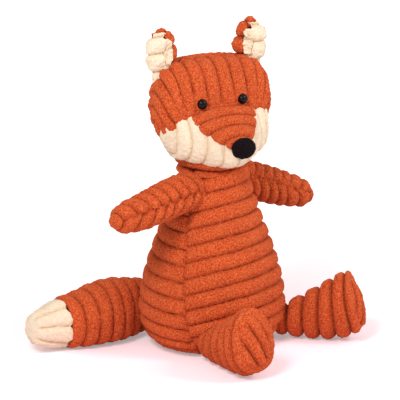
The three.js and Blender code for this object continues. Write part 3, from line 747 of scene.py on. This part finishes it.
back = stuffed("head_back", cut_at_ears(shaped(turned(back_side), back_form), False), 3, 0.8)
corded(back, back_rows, 3.6, seam=ear_seam, seam_depth=1.2, seed=4)
dressed(back, head_place, orange_cord, "orange_cord", "head", 0.8, "head_back_panel")

# %% Cheeks
CHEEK_HALF = 49
CHEEK_REACH = 47.5
CHEEK_WIDTHS = [(-1, 0), (-0.97, 0.16), (-0.85, 0.36), (-0.53, 0.62), (-0.25, 0.88), (0, 1)]
CHEEK_AXIS = 5
CHEEK_PITCH = 12
cheek_half_line = [(CHEEK_REACH * out, CHEEK_HALF * place) for place, out in CHEEK_WIDTHS]
cheek_side = cheek_half_line + [(out, -place) for out, place in cheek_half_line[-2::-1]]


def squared(first, second, power):
    """Pushes a point of the unit circle out to a rounded square."""
    return 1 / max(1e-6, (abs(first) ** power + abs(second) ** power)) ** (1 / power)


def cheek_form(x, y, z):
    x, y, z = across(x, y, z)
    out = math.hypot(y, z)
    if out < 0.01:
        return x, -CHEEK_AXIS, -19.5
    spread = abs(x) / CHEEK_HALF
    x *= 0.93 if x < 0 else 1
    ahead, up = y / out, z / out
    grow = squared(ahead, up, 3.2)
    ahead *= grow * (0.35 if y > 0 else 1)
    half = (20 - 2 * spread**1.5) * (1 - spread**14)
    middle_height = -21.5 + 2 * spread - 7 * max(0, -ahead) * out / CHEEK_REACH
    front_rise = 10 * spread * max(0, -ahead) * max(0, up)
    return x, ahead * out - CHEEK_AXIS, middle_height + up * grow * half + front_rise


def cheek_rows(points):
    return points[:, 0] / CHEEK_PITCH * (1 + 0.25 * np.abs(points[:, 0]) / CHEEK_HALF)


cheeks = stuffed("cheek_panels", shaped(turned(cheek_side), cheek_form), 3, 0.8)
corded(cheeks, cheek_rows, 2.6, seed=5)
dressed(cheeks, head_place, cream_cord, "cream_cord", "head", 0.8, "cheek_right", "cheek_left")

# %% Muzzle bridge
MUZZLE_LEAN = math.radians(28)
MUZZLE_LENGTH = 42
MUZZLE_START = 16
MUZZLE_DROP = 2.5
MUZZLE_PITCH = 10.7
muzzle_side = bends((31.5, 0), (30.5, 16), (18.5, 29), (10.5, 42))


def muzzle_form(x, y, z):
    rise = z * (0.31 + 0.23 * y / MUZZLE_LENGTH)
    ahead = y * math.cos(MUZZLE_LEAN) + rise * math.sin(MUZZLE_LEAN)
    up = rise * math.cos(MUZZLE_LEAN) - y * math.sin(MUZZLE_LEAN)
    return -x, -ahead - MUZZLE_START, up - MUZZLE_DROP


def muzzle_rows(points):
    ahead = -(points[:, 1] + MUZZLE_START)
    up = points[:, 2] + MUZZLE_DROP
    reach = ahead * math.cos(MUZZLE_LEAN) - up * math.sin(MUZZLE_LEAN)
    return (reach - 5) / MUZZLE_PITCH


muzzle_form_closed = shaped(turned([(0, 0), *muzzle_side, (0, MUZZLE_LENGTH)]), muzzle_form)
muzzle = stuffed("muzzle_bridge_panel", muzzle_form_closed, 3, 0.6)
corded(muzzle, muzzle_rows, 3, seed=6)
dressed(muzzle, head_place, orange_cord, "orange_cord", "head", 0.8, "muzzle_bridge")

# %% [markdown]
# The nose is a small pad of black pile, wider than it is high. A sphere from bmesh is scaled
# to it and gets the same pile as the cord, only finer.

# %% Nose
nose_ball = bmesh.new()
bmesh.ops.create_icosphere(nose_ball, subdivisions=4, radius=1)
bmesh.ops.scale(nose_ball, vec=Vector((10.5, 7, 8.5)) * MM, verts=nose_ball.verts)
bmesh.ops.translate(nose_ball, vec=Vector((0, -57.6, -23.1)) * MM, verts=nose_ball.verts)
nose = stuffed("nose_pad", nose_ball, 2, 0.3)
corded(nose, lambda points: np.full(len(points), 0.5), 0, seed=7)
dressed(nose, head_place, nose_pile, "nose_pile", "head", 0.9, "nose")

# %% [markdown]
# The eyes are domed buttons of glossy black plastic. A half outline of the dome is spun, and
# the plastic gets a clear hard shine.

# %% Eyes
gloss = bpy.data.materials.new("eye_gloss")
gloss.use_nodes = True
gloss_shader = gloss.node_tree.nodes["Principled BSDF"]
gloss_links = gloss.node_tree.links
gloss_place = gloss.node_tree.nodes.new("ShaderNodeTexCoord").outputs["Object"]
gloss_tone = grain(gloss.node_tree.nodes, gloss_links, gloss_place, 300, 1, 0.3, 0.7)
gloss_colour = mixed(
    gloss.node_tree.nodes, gloss_links, gloss_tone, linear(12, 5, 5), linear(20, 9, 8)
)
gloss_links.new(gloss_colour, gloss_shader.inputs["Base Color"])
gloss_shader.inputs["Roughness"].default_value = 0.04
gloss_shader.inputs["Specular IOR Level"].default_value = 0.14

eye_bends = bends(
    (3.6, -2), (4.6, -1.2), (4.6, 1.8), (2.6, 3), (1.8, 3.5), (0.9, 3.6), (0, 3.6)
)
eye_side = [(0, -2), *eye_bends]
for name, side in (("right", -1), ("left", 1)):
    dome = turned(eye_side, 32)
    eye_aside = Matrix.Rotation(math.radians(6) * side, 4, "Z")
    eye_turn = eye_aside @ Matrix.Rotation(math.radians(172), 4, "X")
    eye_spot = Matrix.Translation(Vector((EYE_SPREAD * side, -22.8, EYE_RISE)) * MM)
    eye_mesh = bpy.data.meshes.new(f"eye_{name}_button")
    dome.to_mesh(eye_mesh)
    dome.free()
    eye_mesh.polygons.foreach_set("use_smooth", [True] * len(eye_mesh.polygons))
    eye = bpy.data.objects.new(f"eye_{name}_button", eye_mesh)
    bpy.context.scene.collection.objects.link(eye)
    eye.data.transform(head_place @ eye_spot @ eye_turn)
    eye.data.materials.append(gloss)
    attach(eye, "head")
    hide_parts(f"eye_{name}")
    print(eye.name, "button centre", eye_mesh.vertices[0].co[:])

# %% [markdown]
# An ear is two leaf-shaped panels sewn edge to edge and turned out: orange behind, cream in
# front. The wales cross it, and a fold that fades towards the tip runs down its length, so the
# cream shows as two columns of lumps. Stuffing that lies unevenly adds to the lumps.

# %% Ears
EAR_LENGTH = 39
EAR_THIN = 0.48
ear_side = bends(
    (9.1, -7.8), (13.5, 5.9), (16.5, 18), (12.5, 29), (10.5, 36), (6, 39.5), (0, 39.5)
)
ear_pitch = line_length(ear_side) / 3.6


def ear_form(x, y, z):
    x, y, z = upright(x, y, z)
    return x, y * EAR_THIN, z


def cream_form(x, y, z):
    """The cream layer spreads towards the tip and ends short of it."""
    return x * (1 + 0.17 * max(0, z) / EAR_LENGTH), y, z * 0.94


def ear_layer(keep_front, side):
    """One layer of the ear, cut where the two meet: orange shows at the inner edge."""
    form = shaped(turned([(0, -7.8), *ear_side]), ear_form)
    cut(form, (0, -1.4 * MM, 0), (-0.5 * side, 1, 0), keep_front)
    return shaped(form, cream_form) if keep_front else form


def ear_rows(points, side):
    """The two halves of an ear lie a third of a wale out of step across its crease."""
    radius = np.hypot(points[:, 0], points[:, 1] / EAR_THIN)
    outer_half = (points[:, 0] * side > -2).astype(float)
    return along(ear_side, radius, points[:, 2]) / ear_pitch + 0.33 * outer_half - 0.12


def ear_crease(points, side):
    """Distance from the fold, which fades out towards the tip."""
    return np.abs(points[:, 0] + 2 * side) + 0.6 * np.maximum(0, points[:, 2] - 20)


for name, side in (("right", -1), ("left", 1)):
    ear_place = (
        head_place
        @ Matrix.Translation(Vector((38.5 * side, 5, 26)) * MM)
        @ Matrix.Rotation(math.radians(-7.5) * side, 4, "Z")
        @ Matrix.Rotation(math.radians(2) * side, 4, "Y")
    )
    outer = stuffed(f"ear_{name}_back", ear_layer(False, side), 2.5, 0.5)
    corded(
        outer,
        lambda points, side=side: ear_rows(points, side),
        4.6,
        seed=8 + side,
        lumps=1.2,
    )
    dressed(outer, ear_place, orange_cord, "orange_cord", "head", 0.6, f"ear_{name}_outer")
    inner = stuffed(f"ear_{name}_front", ear_layer(True, side), 2.5, 0.5)
    corded(
        inner,
        lambda points, side=side: ear_rows(points, side),
        4.6,
        seam=lambda points, side=side: ear_crease(points, side),
        seam_depth=3.2,
        seed=9 + side,
        lumps=1.6,
    )
    dressed(inner, ear_place, cream_cord, "cream_cord", "head", 0.6, f"ear_{name}_inner")

# %% [markdown]
# An arm is one folded panel: its wales run round it, lean at the seam along its front, where
# their ends meet out of step in a zigzag, and close in rings at the tip.

# %% Arms
ARM_LENGTH = 83
ARM_ROOT = 15
ARM_BLEND = 20  # a reach from the pivot along the arm; the point there is worked out but not used
arm_side = bends(
    (ARM_ROOT, 0), (16.8, 25), (15, 50), (12.8, 67), (11, 76), (7, 82.5), (0, ARM_LENGTH)
)
arm_root = rounded_root(ARM_ROOT)
arm_pitch = line_length(arm_side) / 9


def arm_turn(points, side):
    """Angle round the arm from its seam, which runs along its front."""
    seam_x, seam_z = 0.95 * side, 0.3
    dot = points[:, 0] * seam_x + points[:, 2] * seam_z
    cross = (points[:, 0] * seam_z - points[:, 2] * seam_x) * side
    return np.arctan2(cross, dot)


def arm_rows(points, side):
    """Rings that lean at the seam, where the upper and lower edges meet out of step."""
    radius = np.hypot(points[:, 0], points[:, 2])
    turn = arm_turn(points, side)
    nearness = 1 - np.abs(turn) / math.pi
    lean = 11 * nearness**1.5
    step = 5 * (turn > 0) * nearness**4
    fade = np.clip((ARM_LENGTH - 2 - points[:, 1]) / 30, 0, 1)
    return along(arm_side, radius, points[:, 1] + (lean + step) * fade) / arm_pitch


def arm_seam(points, side):
    """Distance from the seam, which zigzags between the wales and stops before the tip."""
    radius = np.hypot(points[:, 0], points[:, 2])
    zigzag = 1.6 * np.sin(points[:, 1] / arm_pitch * math.tau)
    gap = np.abs(radius * arm_turn(points, side) + zigzag)
    return gap + np.maximum(0, points[:, 1] - ARM_LENGTH + 6) * 3


for name, side, forward, drop, shrug in (("right", -1, -14, 5, 4.5), ("left", 1, 21, 21, 0)):
    pivot = Vector((33 * side, 0, 128)) * MM
    arm_place = (
        Matrix.Translation(pivot)
        @ Matrix.Rotation(-side * math.radians(90 + forward), 4, "Z")
        @ Matrix.Rotation(math.radians(-drop), 4, "X")
    )
    arm_round = shaped(
        turned([*arm_root, *arm_side]),
        lambda x, y, z, shrug=shrug: (x, y, z + shrug * min(1, max(0, 1 - y / 55))),
    )
    arm = stuffed(f"arm_{name}_sleeve", arm_round, 3.5, 1)
    corded(
        arm,
        lambda points, side=side: arm_rows(points, side),
        4,
        seam=lambda points, side=side: arm_seam(points, side),
        seam_depth=2.4,
        seed=10 + side,
    )
    dressed(
        arm, arm_place, orange_cord, "orange_cord", None, 0.8,
        f"arm_{name}_cover", f"arm_{name}_stuffing",
    )
    out = (arm_place @ Vector((0, ARM_BLEND * MM, 0))) - pivot
    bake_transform(arm)

# %% [markdown]
# A leg grows from the hip to a broad upturned foot, flat where it lies on the floor. Its wales
# run round it, and an oval sole is sewn into the end with its own wales on the slant.

# %% Legs
LEG_LENGTH = 61
HIP_RADIUS = 14
HIP_HEIGHT = 15
FOOT_WIDTH = 40
FOOT_HEIGHT = 60
LEG_PITCH = 13.2
LEG_SPLAY = math.radians(24)
SOLE_SLANT = math.radians(62)
SOLE_PITCH = 10.8
leg_side = bends((14, 0), (14, 18), (14, 37), (14, 54), (14, 59), (13.2, 61), (10, 61.5))
leg_root = rounded_root(HIP_RADIUS)


def eased(first, last, share):
    return first + (last - first) * np.clip(share, 0, 1)


def leg_section(reach):
    """Half width, half height and middle height of the leg at a reach from the hip."""
    rise = eased(0, 1, reach / LEG_LENGTH)
    wide = eased(HIP_RADIUS * 2, FOOT_WIDTH, reach / (LEG_LENGTH * 0.8)) / 2
    tall = eased(HIP_RADIUS * 2, FOOT_HEIGHT, rise * (1.35 - 0.35 * rise)) / 2
    low = eased(-HIP_RADIUS, -HIP_HEIGHT, reach / (LEG_LENGTH * 0.3))
    return wide, tall, low + tall


def leg_lean(reach, height):
    """How far the toe leans back over the foot, and how far the heel is rounded up."""
    towards_end = np.clip((reach - 25) / 36, 0, 1)
    return 0.24 * towards_end * np.maximum(0, height), 7 * towards_end**3


def leg_form(x, y, z):
    wide, tall, middle_height = leg_section(max(0, y))
    lifted = float(middle_height) if y > 0 else 0
    height = z * float(tall) / HIP_RADIUS + lifted
    lean, heel = leg_lean(y, height)
    raised = height + float(heel) * max(0, -height) / HIP_HEIGHT
    return x * float(wide) / HIP_RADIUS, y - float(lean), raised


def leg_rows(points):
    lean, _ = leg_lean(points[:, 1], points[:, 2])
    return (points[:, 1] + lean + 0.05 * points[:, 2] - 1) / LEG_PITCH


def sole_rows(points, side):
    """Wales on the slant, bowed a little."""
    aside = points[:, 0] * side * math.sin(SOLE_SLANT)
    slanted = aside + (points[:, 2] - 15) * math.cos(SOLE_SLANT)
    return (slanted + 0.012 * points[:, 0] ** 2) / SOLE_PITCH + 0.75


sole_side = bends((11.4, 54), (12.2, 60), (9.6, 63.4), (6.4, 65), (4, 65.7), (2, 66), (0, 66))

for name, side, out, front in (("right", -1, 47, 33), ("left", 1, 38, 46)):
    pivot = Vector((out * side, -front, HIP_HEIGHT)) * MM
    leg_turn = Matrix.Rotation(math.pi + side * LEG_SPLAY, 4, "Z")
    leg_place = Matrix.Translation(pivot) @ leg_turn
    leg_round = shaped(turned([*leg_root, *leg_side, (0, 61.5)]), leg_form)
    leg = stuffed(f"leg_{name}_boot", leg_round, 3.5, 1)
    corded(leg, leg_rows, 5.5, seed=14 + side, shade=1.25)
    dressed(
        leg, leg_place, orange_cord, "orange_cord", None, 0.8,
        f"leg_{name}_cover", f"leg_{name}_stuffing",
    )
    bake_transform(leg)
    sole_round = shaped(turned([(0, 54), *sole_side]), leg_form)
    sole = stuffed(f"sole_{name}_panel", sole_round, 3, 0.6)
    corded(
        sole,
        lambda points, side=side: sole_rows(points, side),
        4.4,
        seed=18 + side,
        shade=1.3,
    )
    dressed(sole, leg_place, orange_cord, "orange_cord", f"leg_{name}", 0.8, f"sole_{name}")

# %% [markdown]
# The tail is pinched flat where it is sewn on, up on the body's side, and comes down to lie on
# the floor, which flattens its underside. It is full in the middle, bows to the fox's right and
# ends in a cream tip that curls up a little and whose wales run lengthwise.

# %% Tail
TAIL_LENGTH = 92
TIP_LENGTH = 27
TAIL_RADIUS = 25
TAIL_WIDTHS = [
    (0, 0.1), (0.12, 0.4), (0.3, 0.74), (0.5, 0.97), (0.62, 1), (0.8, 0.93), (1, 0.75)
]
TAIL_WALES = 8
TIP_WALES = 7
TAIL_SWING = math.radians(67.8)  # to the fox's right, at rest
TAIL_ROOT = 55  # behind the body's middle
TIP_END_SHARE = 0.5
ROOT_LIFT = 13  # how far the root's underside is off the floor, up to the body's side
ROOT_REACH = 18  # where the underside is down on the floor


def tail_width(reach):
    """Half width of the tail at a reach from its root."""
    reaches = [share * TAIL_LENGTH for share, _ in TAIL_WIDTHS] + [TAIL_LENGTH + TIP_LENGTH]
    widths = [share * TAIL_RADIUS for _, share in TAIL_WIDTHS] + [TIP_END_SHARE * TAIL_RADIUS]
    return np.interp(reach, reaches, widths)


def tail_tall(reach):
    """Half height of the tail at a reach from its root, with its underside on the floor."""
    reaches = [0, 22, 44, 57, TAIL_LENGTH, TAIL_LENGTH + TIP_LENGTH]
    return np.interp(reach, reaches, [21, 24, 25.5, 25, 20, 12.5])


def tail_bow(reach):
    """How far the tail bows to its own right and how far its tip curls up off the floor."""
    aside = -5 * np.sin(np.clip(reach / TAIL_LENGTH, 0, 1) * math.pi)
    return aside, 7 * np.clip((reach - 80) / 39, 0, 1) ** 1.5


def tail_form(x, y, z):
    reach = max(0, y)
    wide = float(tail_width(reach)) / TAIL_RADIUS
    tall = float(tail_tall(reach))
    aside, curl = tail_bow(reach)
    out = math.hypot(x, z)
    flat = squared(x / out, z / out, 2.7) if z < 0 and out > 1 else 1
    raised = ROOT_LIFT * max(0, 1 - reach / ROOT_REACH) ** 2
    height = raised + max(0.5, (tall - raised / 2) * (1 + z * flat / TAIL_RADIUS))
    return x * wide * flat + float(aside), y, height + float(curl)


def tail_rows(points):
    return points[:, 1] / (TAIL_LENGTH / TAIL_WALES)


def tip_spread(points):
    """Place round the tip's own axis: angle and radius."""
    aside, curl = tail_bow(points[:, 1])
    across_tip = points[:, 0] - aside
    up = points[:, 2] - tail_tall(points[:, 1]) - curl
    return np.arctan2(up, across_tip), np.hypot(across_tip, up)


def tip_rows(points):
    angle, _ = tip_spread(points)
    return (angle + 0.35 * (points[:, 1] - 84) / 33) / math.tau * TIP_WALES + 0.5


def tip_bare(points):
    """The wales end round the rim, so the very end is plain."""
    _, radius = tip_spread(points)
    return np.clip((12 - radius) / 4, 0, 1)


tail_turn = Matrix.Rotation(TAIL_SWING, 4, "Z")
tail_place = Matrix.Translation((0, TAIL_ROOT * MM, 0)) @ tail_turn
tail_side = bends((25, 0), (25, 30), (25, 61), (25, TAIL_LENGTH))
tip_side = bends((25, 88), (25, 104), (25, 110), (25, 113), (25, 117), (20, 119.5), (0, 119.5))
tail_round = shaped(turned([(0, 0), *tail_side, (0, TAIL_LENGTH)]), tail_form)
tail = stuffed("tail_roll", tail_round, 3.5, 1)
corded(tail, tail_rows, 3.8, seed=20)
dressed(tail, tail_place, orange_cord, "orange_cord", "tail", 0.8, "tail_cover", "tail_stuffing")
tip = stuffed("tail_tip_roll", shaped(turned([(0, 88), *tip_side]), tail_form), 3.5, 0.8)
corded(tip, tip_rows, 3.4, bare=tip_bare, seed=21)
dressed(tip, tail_place, cream_cord, "cream_cord", "tail", 0.8, "tail_tip")

# %% [markdown]
# The washers behind the eyes are clear plastic from the CAD model. They keep their shape and
# get a finish with a faint cloudiness.

# %% Washers
plastic = bpy.data.materials.new("washer_plastic")
plastic.use_nodes = True
plastic_nodes = plastic.node_tree.nodes
plastic_shader = plastic_nodes["Principled BSDF"]
plastic_place = plastic_nodes.new("ShaderNodeTexCoord").outputs["Object"]
cloud = grain(plastic_nodes, plastic.node_tree.links, plastic_place, 200, 2, 0.3, 0.7)
milky = mixed(
    plastic_nodes, plastic.node_tree.links, cloud, linear(222, 220, 214), linear(236, 234, 228)
)
plastic.node_tree.links.new(milky, plastic_shader.inputs["Base Color"])
plastic_shader.inputs["Roughness"].default_value = 0.4
for name in ("eye_right_washer", "eye_left_washer"):
    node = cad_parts[name]
    for material_slot in node.material_slots:
        material_slot.material = plastic
    print(name, "finished")
